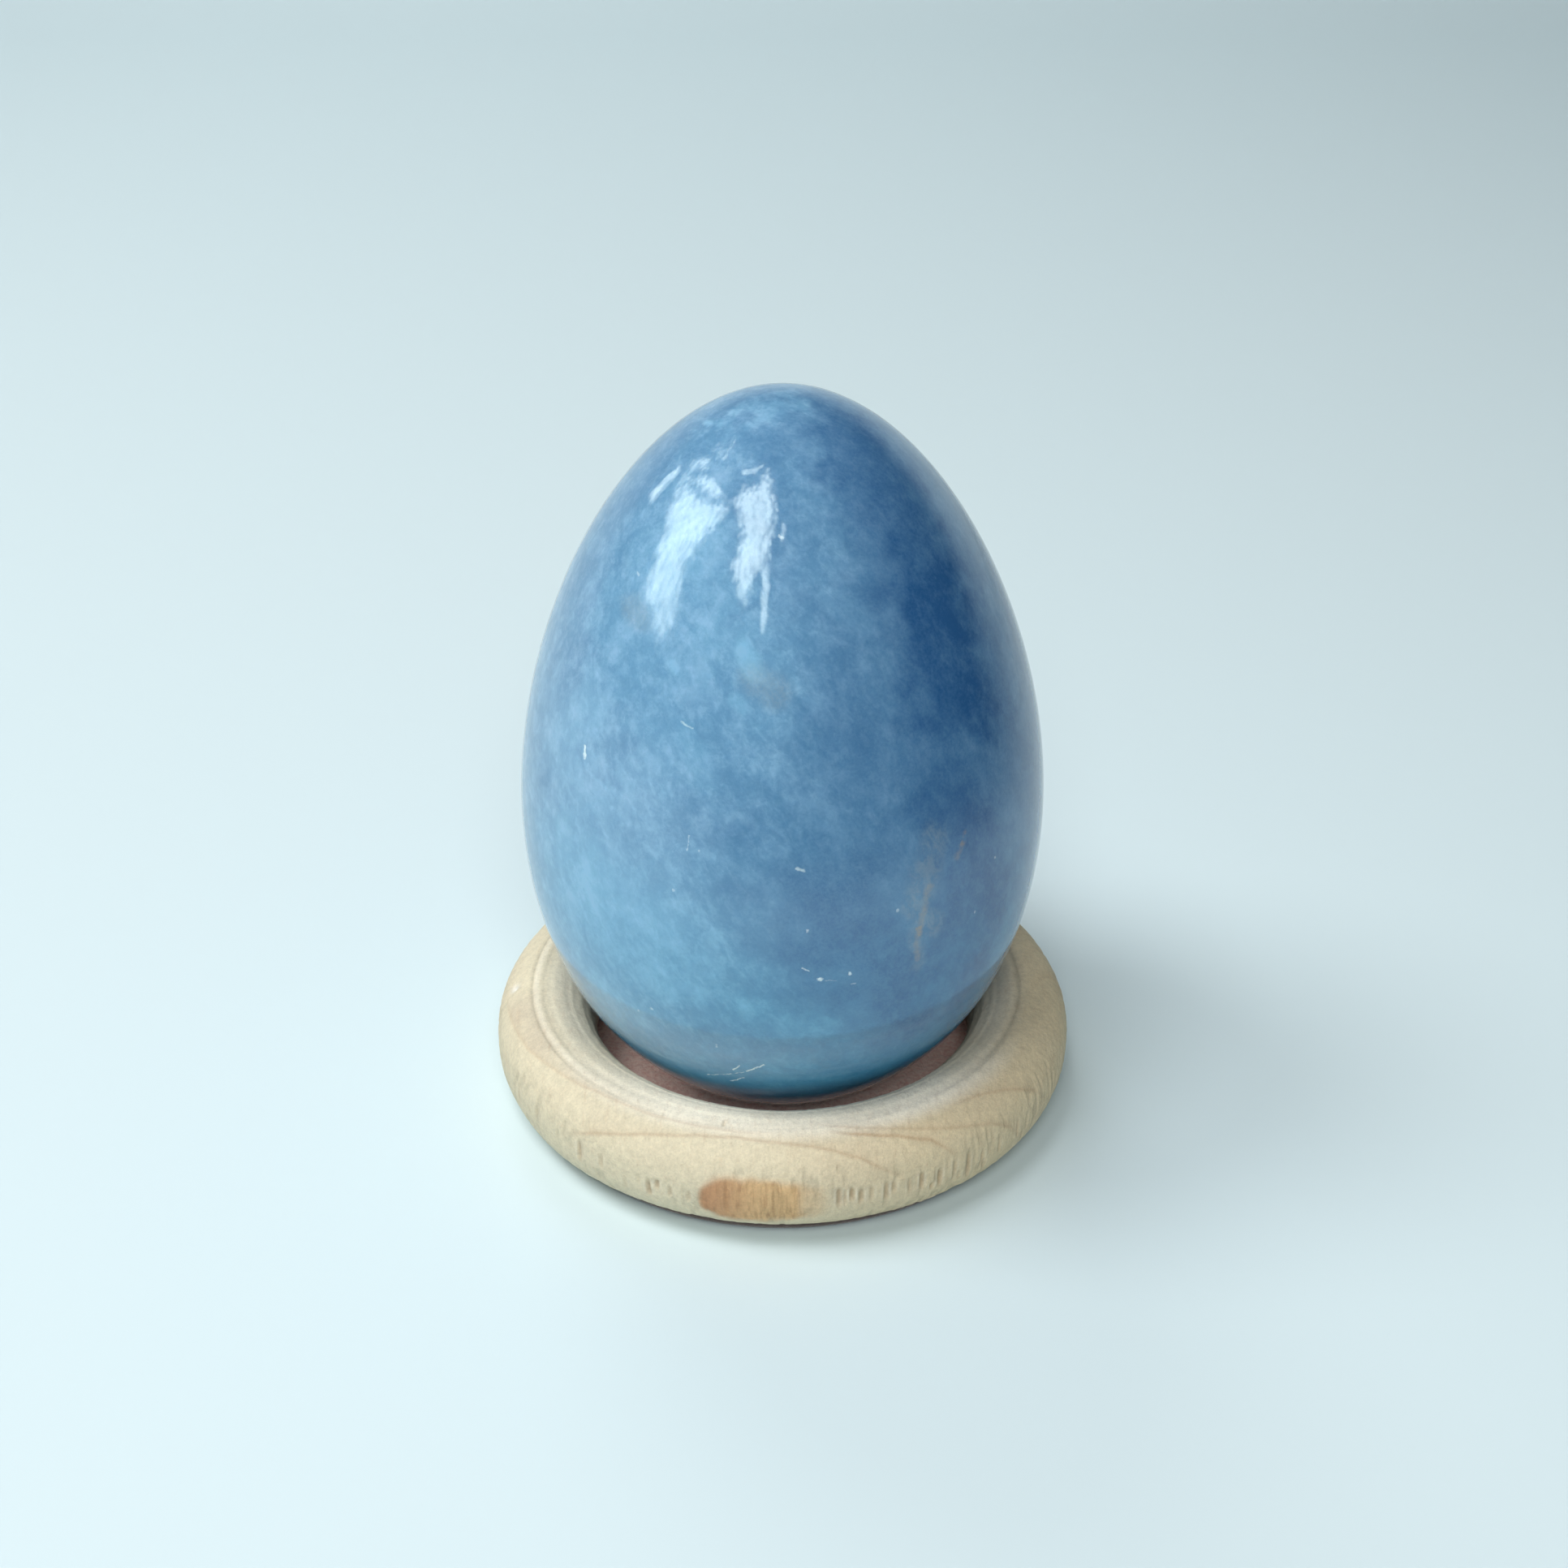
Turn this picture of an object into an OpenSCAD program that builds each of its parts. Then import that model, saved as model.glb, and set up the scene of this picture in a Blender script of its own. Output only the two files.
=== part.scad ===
// Polished stone egg that stands in a turned wooden ring with a suede pad under it.
// Millimetres, +Z up. The origin is the middle of the pad's underside.

/* [Egg] */
// Height of the egg
egg_h = 69.4; // [50:0.1:90]
// Width of the egg at its widest
egg_w = 47.8; // [36:0.1:60]
// How much blunter the lower end is than the upper end, 0 for an ellipse
egg_taper = 0.138; // [0.02:0.002:0.25]

/* [Wooden ring] */
// Width of the ring's section, from the bore to the outside
section_w = 9.6; // [6:0.1:14]
// Height of the ring
ring_h = 9.5; // [6:0.1:14]
// How square the section is: 2 for an ellipse, more for a squarer one
section_power = 2.3; // [2:0.1:4]
// Depth sanded flat off the ring's underside, where the pad is glued on
sanded_flat = 0.35; // [0.1:0.05:1]
// Least gap between the ring and the standing egg, measured level
ring_gap = 1.9; // [0.5:0.1:4]

/* [Suede pad] */
// Thickness of the pad
pad_t = 1.2; // [0.8:0.1:3]
// How far the pad's edge stays inside the ring's flat
pad_inset = 0.3; // [0.1:0.1:1.4]
// Depth that the egg's weight has pressed into the pad
dent_depth = 0.4; // [0.2:0.05:0.6]
// Clearance between the egg and its dent
seat_gap = 0.1; // [0.05:0.01:0.15]

/* [Hidden] */

egg_colour = [0.36, 0.51, 0.66];
wood_colour = [0.83, 0.77, 0.63];
suede_colour = [0.76, 0.55, 0.48];

// Steps in degrees along an outline, and facets round the axis.
egg_step = 2;
section_step = 5;
$fn = 180;

// The egg's outline is r = egg_a sin(t) (1 - egg_taper cos(t)), with t from 0 at the top to 180
// at the bottom. widest_cos is the cosine of t at the widest place, where r's slope is zero.
widest_cos = (1 - sqrt(1 + 8 * pow(egg_taper, 2))) / (4 * egg_taper);
widest_share = sqrt(1 - pow(widest_cos, 2)) * (1 - egg_taper * widest_cos);
egg_a = egg_w / 2 / widest_share;
egg_z = pad_t - dent_depth;

// Radius of the sphere that fits the egg's lower end.
end_r = 2 * pow(egg_a * (1 + egg_taper), 2) / egg_h;

// The ring's section is a superellipse whose lowest part is sanded flat.
section_h = ring_h + sanded_flat;
section_z = pad_t + ring_h - section_h / 2;
foot_share = pow(1 - pow(1 - 2 * sanded_flat / section_h, section_power), 1 / section_power);
foot_half = section_w / 2 * foot_share;

// The ring's middle radius keeps ring_gap level between the egg and the section's inner side.
ring_r = ring_gap + max([
    for (a = [0 : section_step : 90]) egg_radius(section_z + section_up(a) - egg_z) + section_out(a)
]);
pad_r = ring_r + foot_half - pad_inset;

// Radius of the egg at a height above its lower end.
function egg_radius(height) =
    let (c = 2 * height / egg_h - 1) egg_a * sqrt(1 - pow(c, 2)) * (1 - egg_taper * c);

// A power that keeps the sign of its base.
function signed_pow(base, power) = sign(base) * pow(abs(base), power);

// Place of the section's outline at an angle, from the section's centre.
function section_out(a) = section_w / 2 * signed_pow(cos(a), 2 / section_power);
function section_up(a) = section_h / 2 * signed_pow(sin(a), 2 / section_power);

module egg() {
    color(egg_colour)
    translate([0, 0, egg_z])
    rotate_extrude()
    polygon([
        for (t = [0 : egg_step : 180])
            [egg_a * sin(t) * (1 - egg_taper * cos(t)), egg_h / 2 * (1 + cos(t))]
    ]);
}

module wooden_ring() {
    color(wood_colour)
    difference() {
        translate([0, 0, section_z])
        rotate_extrude()
        translate([ring_r, 0])
        polygon([for (a = [0 : section_step : 359]) [section_out(a), section_up(a)]]);

        // Sanded flat.
        translate([0, 0, pad_t - section_h])
        cylinder(r = ring_r + section_w, h = section_h);
    }
}

module suede_pad() {
    color(suede_colour)
    difference() {
        cylinder(r = pad_r, h = pad_t);

        // Dent under the egg.
        translate([0, 0, egg_z + end_r])
        sphere(r = end_r + seat_gap);
    }
}

egg();
wooden_ring();
suede_pad();
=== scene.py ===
"""Looks of a polished angelite egg that stands in a turned wooden ring with a suede pad."""

import math
from math import radians

import bmesh
import bpy
import numpy as np
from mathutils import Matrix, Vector


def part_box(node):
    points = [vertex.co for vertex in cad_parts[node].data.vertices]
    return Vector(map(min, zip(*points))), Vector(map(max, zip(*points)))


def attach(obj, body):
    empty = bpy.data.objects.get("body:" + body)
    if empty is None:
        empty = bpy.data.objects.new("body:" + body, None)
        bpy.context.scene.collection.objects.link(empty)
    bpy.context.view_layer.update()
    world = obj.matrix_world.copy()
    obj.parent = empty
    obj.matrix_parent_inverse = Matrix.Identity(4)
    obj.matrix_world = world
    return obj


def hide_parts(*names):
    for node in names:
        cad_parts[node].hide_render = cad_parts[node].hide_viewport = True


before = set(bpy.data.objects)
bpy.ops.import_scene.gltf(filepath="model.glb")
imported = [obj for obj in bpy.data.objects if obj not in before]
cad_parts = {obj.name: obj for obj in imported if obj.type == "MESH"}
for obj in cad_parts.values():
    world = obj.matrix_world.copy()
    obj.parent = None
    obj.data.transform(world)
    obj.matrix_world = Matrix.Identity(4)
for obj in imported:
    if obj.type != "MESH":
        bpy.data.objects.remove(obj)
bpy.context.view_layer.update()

MM = 0.001
scene = bpy.context.scene


# Camera. Places seen in the picture are given as pixels of its full size.

PICTURE_PX = 1932
FOCAL_PX = 3030
SENSOR_MM = 36
CAMERA_AT = Vector((0.14, -195.03, 145.98)) * MM
CAMERA_DOWN = radians(30.278)


def add_object(name, data):
    thing = bpy.data.objects.new(name, data)
    scene.collection.objects.link(thing)
    return thing


def add_camera():
    data = bpy.data.cameras.new("camera")
    data.sensor_width = SENSOR_MM
    data.lens = SENSOR_MM * FOCAL_PX / PICTURE_PX
    data.clip_start = 0.01
    data.clip_end = 20
    camera = add_object("camera", data)
    camera.location = CAMERA_AT
    camera.rotation_euler = (math.pi / 2 - CAMERA_DOWN, 0, 0)
    scene.camera = camera


def pixel_ray(x, y):
    """Direction from the camera through a pixel."""
    across = (x - PICTURE_PX / 2) / FOCAL_PX
    upward = (PICTURE_PX / 2 - y) / FOCAL_PX
    forward = Vector((0, math.cos(CAMERA_DOWN), -math.sin(CAMERA_DOWN)))
    up = Vector((0, math.sin(CAMERA_DOWN), math.cos(CAMERA_DOWN)))
    return (forward + Vector((across, 0, 0)) + up * upward).normalized()


def seen_on(piece, x, y):
    """The place on a piece that the camera sees at a pixel."""
    hit, at, _, _ = piece.ray_cast(CAMERA_AT, pixel_ray(x, y))
    if not hit:
        raise ValueError(f"pixel {x}, {y} misses {piece.name}")
    return at


def pixel_size(at):
    """How much a pixel spans at a place."""
    return (at - CAMERA_AT).length / FOCAL_PX


# Mesh helpers.


def lattice_noise(points, cell, seed, size=1):
    """Smooth noise from minus its size to its size, with features about a cell across."""
    grid = points / cell
    low = np.floor(grid).astype(np.int64)
    part = grid - low
    ease = part**3 * (part * (part * 6 - 15) + 10)
    total = np.zeros(len(points))
    for corner in np.ndindex(2, 2, 2):
        at = (low + corner + seed * 57) & 0xFFFF
        mixed = (at[:, 0] * 73856093) ^ (at[:, 1] * 19349663) ^ (at[:, 2] * 83492791)
        mixed = ((mixed ^ (mixed >> 15)) * 2246822519) & 0xFFFFFFFF
        mixed = ((mixed ^ (mixed >> 13)) * 3266489917) & 0xFFFFFFFF
        value = ((mixed ^ (mixed >> 16)) & 0xFFFFFF) / 0x7FFFFF - 1
        share = np.where(corner, ease, 1 - ease).prod(axis=1)
        total += share * value
    return size * total


def pressed(points, cell, seed, size):
    """Noise from 0 to its size."""
    return size * (1 + lattice_noise(points, cell, seed)) / 2


def add_piece(name, points, faces):
    mesh = bpy.data.meshes.new(name)
    mesh.from_pydata(points.tolist(), [], faces)
    mesh.shade_smooth()
    return add_object(name, mesh)


def grid_faces(rows, columns, close_rows):
    """Faces of a grid of points whose columns close on themselves."""
    last = rows if close_rows else rows - 1
    row, column = np.meshgrid(np.arange(last), np.arange(columns), indexing="ij")
    above = (row + 1) % rows
    beside = (column + 1) % columns
    corners = (row * columns + column, above * columns + column,
               above * columns + beside, row * columns + beside)
    return np.stack(corners, axis=-1).reshape(-1, 4).tolist()


def ramp(value, low, high):
    """A smooth step from 0 at low to 1 at high."""
    share = np.clip((value - low) / (high - low), 0, 1)
    return share * share * (3 - 2 * share)


def around(count):
    """Evenly spaced angles round a full turn, in radians."""
    return np.arange(count) * 2 * math.pi / count


def turned_points(radii, heights, columns):
    """Rows of points round the axis, one row for each radius and height."""
    azimuth = around(columns)
    return np.stack((np.outer(radii, np.cos(azimuth)), np.outer(radii, np.sin(azimuth)),
                     np.outer(heights, np.ones(columns))), axis=-1).reshape(-1, 3)


def set_points(piece, points):
    piece.data.vertices.foreach_set("co", points.astype(np.float32).ravel())
    piece.data.update()


def paint(piece, name, values):
    """Keeps a number at each point of a piece for its material."""
    attribute = piece.data.attributes.new(name, "FLOAT", "POINT")
    attribute.data.foreach_set("value", values.astype(np.float32))


# Egg. Its outline is r = a sin(t) (1 - taper cos(t)), with t from 0 at the top.

EGG_TAPER = 0.138
EGG_CUTS = 119
WAVES = (8 * MM, 1, 0.03 * MM)
RIPPLES = (2.6 * MM, 2, 0.005 * MM)

egg_low, egg_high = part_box("egg")
EGG_H = egg_high.z - egg_low.z
widest_cos = (1 - math.sqrt(1 + 8 * EGG_TAPER**2)) / (4 * EGG_TAPER)
widest_share = math.sqrt(1 - widest_cos**2) * (1 - EGG_TAPER * widest_cos)
EGG_A = egg_high.x / widest_share


def egg_points(turns):
    """Places on the egg for an array of unit directions."""
    swell = EGG_A * (1 - EGG_TAPER * turns[:, 2])
    height = egg_low.z + EGG_H * (1 + turns[:, 2]) / 2
    return np.stack((swell * turns[:, 0], swell * turns[:, 1], height), axis=1)


def egg_turns(points):
    """The unit directions that belong to places on the egg."""
    up = np.clip(2 * (points[:, 2] - egg_low.z) / EGG_H - 1, -1, 1)
    swell = EGG_A * (1 - EGG_TAPER * up)
    return np.stack((points[:, 0] / swell, points[:, 1] / swell, up), axis=1)


def egg_normals(turns):
    up = turns[:, 2]
    rise = 2 * EGG_A / EGG_H * (up * (1 - EGG_TAPER * up) + EGG_TAPER * (1 - up**2))
    normals = np.stack((turns[:, 0], turns[:, 1], rise), axis=1)
    return normals / np.linalg.norm(normals, axis=1, keepdims=True)


def egg_mesh():
    """A cube cut into small squares and blown up to the egg, so that it has no poles."""
    cube = bmesh.new()
    bmesh.ops.create_cube(cube, size=2)
    bmesh.ops.subdivide_edges(cube, edges=cube.edges[:], cuts=EGG_CUTS, use_grid_fill=True)
    cube.verts.index_update()
    corners = np.array([v.co for v in cube.verts])
    faces = [[v.index for v in face.verts] for face in cube.faces]
    cube.free()
    turns = np.tan(corners * math.pi / 4)
    turns /= np.linalg.norm(turns, axis=1, keepdims=True)
    return turns, faces


# Wooden ring. Its section is a superellipse whose lowest part is sanded flat.

SECTION_POWER = 2.3
SANDED_FLAT = 0.35 * MM
RING_COLUMNS = 1920
RING_ROWS = 160

ring_low, ring_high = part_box("wooden_ring")
ring_radii = [math.hypot(v.co.x, v.co.y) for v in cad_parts["wooden_ring"].data.vertices]
SECTION_W = max(ring_radii) - min(ring_radii)
RING_R = (max(ring_radii) + min(ring_radii)) / 2
SECTION_H = ring_high.z - ring_low.z + SANDED_FLAT
SECTION_Z = ring_high.z - SECTION_H / 2
OUTER_R = RING_R + SECTION_W / 2
# Length along the section for each radian of its angle.
PER_ANGLE = (SECTION_W + SECTION_H) / 4


def signed_power(base, power):
    return np.sign(base) * np.abs(base) ** power


def ring_grid():
    """The section angle and azimuth of each point of the ring's grid, in radians."""
    section, azimuth = np.meshgrid(around(RING_ROWS), around(RING_COLUMNS), indexing="ij")
    return section.ravel(), azimuth.ravel()


def ring_points(section, azimuth, depth):
    """Places on the ring, each pressed in by its depth."""
    across = signed_power(np.cos(section), 2 / SECTION_POWER)
    along = signed_power(np.sin(section), 2 / SECTION_POWER)
    out = signed_power(across, SECTION_POWER - 1) / SECTION_W
    up = signed_power(along, SECTION_POWER - 1) / SECTION_H
    length = np.hypot(out, up)
    radius = RING_R + SECTION_W / 2 * across - depth * out / length
    height = SECTION_Z + SECTION_H / 2 * along - depth * up / length
    height = np.maximum(height, ring_low.z)
    return np.stack((radius * np.cos(azimuth), radius * np.sin(azimuth), height), axis=1)


def ring_place(ring, x, y):
    """The azimuth and section angle of the ring that the camera sees at a pixel."""
    at = seen_on(ring, x, y)
    across = (math.hypot(at.x, at.y) - RING_R) * 2 / SECTION_W
    along = (at.z - SECTION_Z) * 2 / SECTION_H
    section = math.atan2(signed_power(along, SECTION_POWER / 2), signed_power(across, SECTION_POWER / 2))
    return math.atan2(at.y, at.x), section


# Grooves that the turning tool left on the slope of the bore.
TURNING_START = (radians(80), radians(80) + 0.3)
TURNING_END = (radians(172) - 0.2, radians(172))
TURNING_DEPTH = 0.05 * MM
TURNING = (0.45 * MM, 6)
WANDER = (7 * MM, 5, 0.12 * MM)

# Two lines where the tool's passes meet run along the top of the ring, fainter in front. The
# second line, and a painted highlight along a pale lip beside the first, are on the left.
CREASE_LEFT = radians(76)
CREASE_RIGHT = radians(90)
CREASE_HALF = 0.13 * MM
CREASE_DEPTH = 0.075 * MM
CREASE_STEP = 0.95 * MM
CREASE_SECOND = 0.7
CREASE_IN_FRONT = 0.35
CREASE_FRONT_END = (0.4, 1.1)
LIP_HIGHLIGHT_AT = 0.45 * MM
LIP_HIGHLIGHT_HALF = 0.28 * MM

# Sanding leaves a fine grain and a slightly uneven surface.
SANDING = (0.4 * MM, 4, 0.05 * MM)
UNEVEN = (6 * MM, 3, 0.08 * MM)

# Torn grain: short dents on the outer face, as pixel x, lowest and highest pixel y, strength.
SEEN_DENTS = (
    (714, 1429, 1407, 0.8), (799, 1472, 1455, 0.9), (809, 1465, 1455, 0.8), (825, 1474, 1464, 0.5),
    (848, 1480, 1468, 0.5), (1034, 1486, 1465, 1.0), (1041, 1484, 1468, 0.6), (1050, 1479, 1465, 1.0),
    (1061, 1482, 1466, 0.8), (1074, 1478, 1462, 0.5), (1092, 1478, 1458, 0.9), (1102, 1470, 1456, 0.6),
    (1121, 1470, 1452, 0.5), (1136, 1464, 1446, 1.0), (1148, 1465, 1459, 0.7), (1158, 1460, 1442, 0.9),
    (1176, 1452, 1430, 0.5), (1192, 1450, 1424, 0.8), (891, 1387, 1378, 0.6), (740, 1438, 1424, 0.5),
    (896, 1494, 1457, 0.5), (1210, 1436, 1420, 0.8),
)
# Dents elsewhere, with their azimuths and section angles in degrees.
DENT_SEED = 11
DENT_COUNT = 60
DENT_AZIMUTHS = (25, 335)
DENT_SECTIONS = (-16, 12)
DENT_SIZES = (0.5, 1.5)
DENT_STRENGTHS = (0.15, 0.5)
DENT_HALF_WIDTH = 0.2 * MM
DENT_HALF_HEIGHT = 0.55 * MM
DENT_LEAST_HALF = 0.25 * MM
DENT_DEPTH = 0.32 * MM
# A painted highlight at the edge beside a dent, in half widths of it.
DENT_HIGHLIGHT_AT = 1.9
DENT_HIGHLIGHT_HALF = 0.5

# Finer torn grain on the outer face, as short upright strokes in patches.
TORN_DEPTH = 0.11 * MM
TORN = (0.42 * MM, 9)
TORN_STRETCH = 3.2
TORN_STROKES = (-0.1, 0.6)
TORN_PATCHES = (4 * MM, 10)
TORN_PATCH_EDGE = (-0.35, 0.3)
TORN_LOW_END = (-1.1, -0.7)
TORN_HIGH_END = (0.3, 0.9)

# A small chip on the left.
CHIP_AT = (633, 1217)
CHIP_HALF = 0.55 * MM
CHIP_DEPTH = 0.3 * MM

# Growth lines that the picture shows, as strength and places.
SEEN_GROWTH = (
    (0.55, ((700, 1397), (730, 1396), (789, 1397), (857, 1398), (907, 1401), (958, 1407), (1000, 1412),
            (1028, 1418), (1059, 1426), (1078, 1436), (1100, 1445), (1117, 1453))),
    (0.9, ((1024, 1394), (1061, 1397), (1102, 1399), (1146, 1404), (1165, 1414), (1184, 1428))),
    (0.5, ((1004, 1384), (1073, 1389), (1109, 1390), (1163, 1390), (1196, 1387), (1220, 1385),
            (1243, 1388), (1261, 1398))),
    (0.55, ((1170, 1362), (1206, 1349), (1240, 1342), (1276, 1343), (1287, 1352))),
    (0.4, ((625, 1235), (634, 1266), (650, 1291), (667, 1306), (690, 1322), (711, 1334), (735, 1344),
            (761, 1356), (868, 1388), (960, 1396))),
)
GROWTH_HALF = 0.17 * MM
GROWTH_FADE = 0.9 * MM
GROWTH_SHARP = 0.65
GROWTH_STRAY = (1.5 * MM, 30, 0.05 * MM)
GROWTH_FADING = (3 * MM, 40, 0.4)
# How a line starts and ends, in radians past its first and last place.
GROWTH_START = np.array((-0.05, 0.12))
GROWTH_END = np.array((-0.12, 0.03))
# The line that is the darker layer's lower edge, and where the layer shows.
LAYER_EDGE = 4
LAYER_START = (-0.05 * MM, 0.25 * MM)
LAYER_END = (radians(75), radians(95))
LAYER_PATCHES = (2.5 * MM, 25, 0.5)

# Growth layers elsewhere. The pith lies below the ring and runs from front to back.
PITH_AT = (-0.97 * MM, -20 * MM, -21.63 * MM)
PITH_LEAN = 0.35
GROWTH_SPACING = 1.5 * MM
GROWTH_BENDS = (22 * MM, 21, 1.2 * MM)
GROWTH_WAVES = (5 * MM, 22, 0.15 * MM)
GROWTH_MIDDLE = 0.35
GROWTH_SWING = (1.7, 23, 0.45)
GROWTH_STRENGTHS = (0.05, 0.8)
GROWTH_PATCHES = (4 * MM, 24, 0.4)
# They give way to the lines that the picture shows.
GROWTH_FRONT_WAY = radians(-100)
GROWTH_FRONT_START = (-0.35, -0.05)
GROWTH_FRONT_LOW = (-0.9, -0.5)
GROWTH_FRONT_CLEARED = 0.85


def ring_arc(angle, start):
    """How far an angle is from a start, between half a turn back and half a turn on."""
    return (angle - start + math.pi) % (2 * math.pi) - math.pi


def all_dents(ring):
    """Dents as azimuth, section angle, half height and strength."""
    dents = []
    for x, low, high, strength in SEEN_DENTS:
        azimuth, bottom = ring_place(ring, x, low)
        top = ring_place(ring, x, high)[1]
        half = max((top - bottom) * PER_ANGLE / 2, DENT_LEAST_HALF)
        dents.append((azimuth, (bottom + top) / 2, half, strength))
    chance = np.random.default_rng(DENT_SEED)
    for _ in range(DENT_COUNT):
        azimuth = radians(chance.uniform(*DENT_AZIMUTHS)) - math.pi / 2
        section = radians(chance.uniform(*DENT_SECTIONS))
        half = DENT_HALF_HEIGHT * chance.uniform(*DENT_SIZES)
        dents.append((azimuth, section, half, chance.uniform(*DENT_STRENGTHS)))
    return dents


def turning_grooves(section, smooth):
    """How much of the turned bore shows at each point, and the grooves' height from -1 to 1."""
    shown = ramp(section, *TURNING_START) * (1 - ramp(section, *TURNING_END))
    length = section * PER_ANGLE + lattice_noise(smooth, *WANDER)
    groove = np.stack((length, 0 * length, 0 * length), axis=1)
    return shown, lattice_noise(groove, *TURNING)


def torn_grain(turn, azimuth, smooth):
    strokes_at = np.stack((RING_R * np.cos(azimuth), RING_R * np.sin(azimuth),
                           turn * PER_ANGLE / TORN_STRETCH), axis=1)
    torn = ramp(lattice_noise(strokes_at, *TORN), *TORN_STROKES)
    torn *= ramp(lattice_noise(smooth, *TORN_PATCHES), *TORN_PATCH_EDGE)
    return torn * ramp(turn, *TORN_LOW_END) * (1 - ramp(turn, *TORN_HIGH_END))


def ring_depth(ring, section, turn, azimuth, smooth):
    """How far each point of the ring is pressed in, and what its material shows of that."""
    depth = pressed(smooth, *UNEVEN) + pressed(smooth, *SANDING)

    bore, turning = turning_grooves(section, smooth)
    depth += bore * TURNING_DEPTH * (1 + turning) / 2

    side = (1 + np.cos(azimuth)) / 2
    crease_at = CREASE_LEFT + (CREASE_RIGHT - CREASE_LEFT) * side
    from_crease = (section - crease_at) * PER_ANGLE
    crease = np.exp(-(from_crease / CREASE_HALF) ** 2)
    second = np.exp(-((from_crease - CREASE_STEP) / CREASE_HALF) ** 2)
    crease += CREASE_SECOND * (1 - side) * second
    beside = ramp(np.abs(ring_arc(azimuth, -math.pi / 2)), *CREASE_FRONT_END)
    crease *= CREASE_IN_FRONT + (1 - CREASE_IN_FRONT) * beside
    depth += CREASE_DEPTH * crease
    # A painted highlight along the lip beside the first crease, on the left.
    lip_highlight = (1 - side) * np.exp(-((from_crease - LIP_HIGHLIGHT_AT) / LIP_HIGHLIGHT_HALF) ** 2)

    dented, dent_highlight = 0 * turn, 0 * turn
    for dent_azimuth, dent_section, half_height, strength in all_dents(ring):
        across = ring_arc(azimuth, dent_azimuth) * OUTER_R / DENT_HALF_WIDTH
        up = (turn - dent_section) * PER_ANGLE / half_height
        dented += strength * np.exp(-across**2 - up**4)
        # A painted highlight at the edges beside each dent.
        dent_highlight += strength * np.exp(-((np.abs(across) - DENT_HIGHLIGHT_AT) / DENT_HIGHLIGHT_HALF) ** 2 - up**4)
    depth += DENT_DEPTH * dented

    torn = torn_grain(turn, azimuth, smooth)
    depth += TORN_DEPTH * torn

    chip_azimuth, chip_section = ring_place(ring, *CHIP_AT)
    across = ring_arc(azimuth, chip_azimuth) * OUTER_R
    chip = np.exp(-(across**2 + ((turn - chip_section) * PER_ANGLE) ** 2) / CHIP_HALF**2)
    depth += CHIP_DEPTH * chip
    tones = {"turning": bore * turning, "crease": crease, "lip_highlight": lip_highlight, "dented": dented, "chip": chip,
             "torn": torn, "dent_highlight": dent_highlight}
    return depth, tones


def growth_elsewhere(turn, azimuth, smooth):
    across = smooth[:, 0] - PITH_AT[0]
    up = smooth[:, 2] - PITH_AT[2] - PITH_LEAN * (smooth[:, 1] - PITH_AT[1])
    layers = np.hypot(across, up) + lattice_noise(smooth, *GROWTH_BENDS)
    layers = (layers + lattice_noise(smooth, *GROWTH_WAVES)) / GROWTH_SPACING
    part = layers % 1
    number = np.stack((np.floor(layers) + 0.5, 0 * layers, 0 * layers), axis=1)
    strength = np.clip(GROWTH_MIDDLE + lattice_noise(number, *GROWTH_SWING), *GROWTH_STRENGTHS)
    # Each layer darkens towards its edge, steeply at the end.
    line = strength * (part**9 + 0.3 * part**2)
    front = ramp(np.cos(ring_arc(azimuth, GROWTH_FRONT_WAY)), *GROWTH_FRONT_START)
    front *= ramp(turn, *GROWTH_FRONT_LOW)
    line *= 1 - GROWTH_FRONT_CLEARED * front
    return line * (0.6 + lattice_noise(smooth, *GROWTH_PATCHES))


def line_noise(smooth, number, cell, seed, size):
    """Noise that differs from one growth line to the next."""
    return lattice_noise(smooth, cell, seed + number, size)


def ring_growth(ring, turn, azimuth, smooth):
    """How dark the growth lines are at each point, and how much of the darker layer shows."""
    line = growth_elsewhere(turn, azimuth, smooth)
    layer = 0 * turn
    for number, (strength, places) in enumerate(SEEN_GROWTH):
        seen = np.array([ring_place(ring, x, y) for x, y in places])
        azimuths, sections = seen[:, 0], seen[:, 1]
        azimuths = np.where(azimuths > 0, azimuths - 2 * math.pi, azimuths)
        way = ring_arc(azimuth, -math.pi / 2) - math.pi / 2
        at = np.interp(way, azimuths, sections)
        slope = np.gradient(sections, azimuths) * PER_ANGLE / RING_R
        steep = np.hypot(1, np.interp(way, azimuths, slope))
        away = (turn - at) * PER_ANGLE / steep + line_noise(smooth, number, *GROWTH_STRAY)
        ends = ramp(way, *(azimuths[0] + GROWTH_START))
        ends *= 1 - ramp(way, *(azimuths[-1] + GROWTH_END))
        sharp = np.exp(-(away / GROWTH_HALF) ** 2)
        fade = np.where(away > 0, np.exp(-away / GROWTH_FADE), sharp)
        fade *= 0.8 + line_noise(smooth, number, *GROWTH_FADING)
        shown = GROWTH_SHARP * sharp + (1 - GROWTH_SHARP) * fade
        line = np.maximum(line, strength * ends * shown)
        if number == LAYER_EDGE:
            layer = ends * ramp(away, *LAYER_START)
    layer *= 1 - ramp(turn, *LAYER_END)
    layer *= np.clip(0.75 + lattice_noise(smooth, *LAYER_PATCHES), 0, 1)
    return line, layer


# A darker patch of heartwood on the front, darkest at its left end. Places are shares of its length.
PATCH_LEFT = (857, 1476)
PATCH_RIGHT = (1022, 1478)
PATCH_TOP = (915, 1447)
PATCH_LOW = (915, 1505)
PATCH_RAGGED = (0.9 * MM, 51, 0.05)
PATCH_ROUND_TO = 0.32
PATCH_NARROWS = (0.5, 1.0)
PATCH_NARROWS_BY = 0.4
PATCH_EDGE = (-0.1, 0.36)
PATCH_START = (-0.03, 0.06)
PATCH_WANES = (0.74, 0.9)
PATCH_WANES_BY = 0.6
PATCH_END_AT = (0.9, 1.03)


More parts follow.
